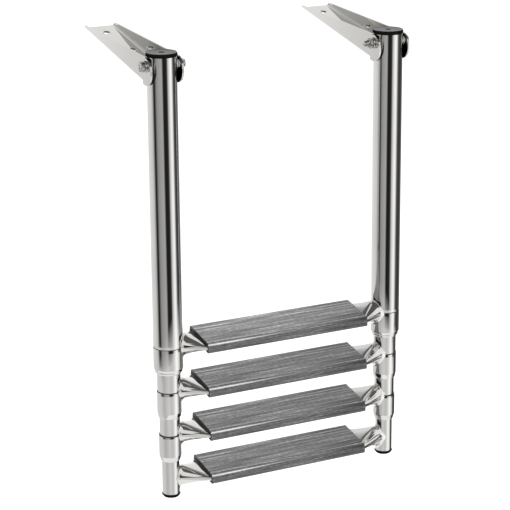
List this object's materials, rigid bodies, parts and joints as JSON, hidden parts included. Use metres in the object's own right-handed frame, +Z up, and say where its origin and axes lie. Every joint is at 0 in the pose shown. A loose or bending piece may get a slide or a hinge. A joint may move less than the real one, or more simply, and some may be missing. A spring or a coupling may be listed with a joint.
{
  "type": "telescopic boat boarding ladder",
  "caption": "Closed telescopic boat boarding ladder: round stainless legs sliding into one another, flat grey treads, and two hinge brackets that screw to a swim platform.",
  "frame": {"origin": "middle of the hinge axis, half way between the two pivot bolts", "axes": "+Z up the hanging legs, +X along the rungs and the hinge axis, +Y back towards the boat, the way the brackets run"},
  "size_m": [0.3946, 0.2402, 0.6188],
  "materials": {
    "polished_stainless": "mirror-polished stainless steel",
    "black_plastic": "satin moulded plastic",
    "white_nylon": "satin nylon",
    "grey_plastic": "matte grooved plastic"
  },
  "bodies": {
    "brackets": {"left_hinge_bracket": "polished_stainless", "left_pivot_bolt": "polished_stainless", "left_pivot_nut": "polished_stainless", "left_head_washer": "polished_stainless", "left_nut_washer": "polished_stainless", "left_pivot_sleeve": "white_nylon", "right_hinge_bracket": "polished_stainless", "right_pivot_bolt": "polished_stainless", "right_pivot_nut": "polished_stainless", "right_head_washer": "polished_stainless", "right_nut_washer": "polished_stainless", "right_pivot_sleeve": "white_nylon"},
    "stage_1": {"left_stage_1_tube": "polished_stainless", "left_stage_1_collar": "polished_stainless", "left_stage_1_liner": "white_nylon", "left_top_cap": "black_plastic", "right_stage_1_tube": "polished_stainless", "right_stage_1_collar": "polished_stainless", "right_stage_1_liner": "white_nylon", "right_top_cap": "black_plastic", "rung_1": "polished_stainless", "tread_1": "grey_plastic"},
    "stage_2": {"left_stage_2_tube": "polished_stainless", "left_stage_2_collar": "polished_stainless", "left_stage_2_liner": "white_nylon", "left_stage_2_guide": "white_nylon", "right_stage_2_tube": "polished_stainless", "right_stage_2_collar": "polished_stainless", "right_stage_2_liner": "white_nylon", "right_stage_2_guide": "white_nylon", "rung_2": "polished_stainless", "tread_2": "grey_plastic"},
    "stage_3": {"left_stage_3_tube": "polished_stainless", "left_stage_3_collar": "polished_stainless", "left_stage_3_liner": "white_nylon", "left_stage_3_guide": "white_nylon", "right_stage_3_tube": "polished_stainless", "right_stage_3_collar": "polished_stainless", "right_stage_3_liner": "white_nylon", "right_stage_3_guide": "white_nylon", "rung_3": "polished_stainless", "tread_3": "grey_plastic"},
    "stage_4": {"left_stage_4_tube": "polished_stainless", "left_stage_4_guide": "white_nylon", "left_foot": "black_plastic", "right_stage_4_tube": "polished_stainless", "right_stage_4_guide": "white_nylon", "right_foot": "black_plastic", "rung_4": "polished_stainless", "tread_4": "grey_plastic"}
  },
  "joints": [
    {"name": "ladder_hinge", "type": "hinge", "parent": "brackets", "child": "stage_1", "pos_m": [0, 0, 0], "axis": [-1, 0, 0], "range_deg": [0, 255]},
    {"name": "stage_2_slide", "type": "slide", "parent": "stage_1", "child": "stage_2", "axis": [0, 0, -1], "range_m": [0, 0.217]},
    {"name": "stage_3_slide", "type": "slide", "parent": "stage_2", "child": "stage_3", "axis": [0, 0, -1], "range_m": [0, 0.217]},
    {"name": "stage_4_slide", "type": "slide", "parent": "stage_3", "child": "stage_4", "axis": [0, 0, -1], "range_m": [0, 0.217]}
  ]
}
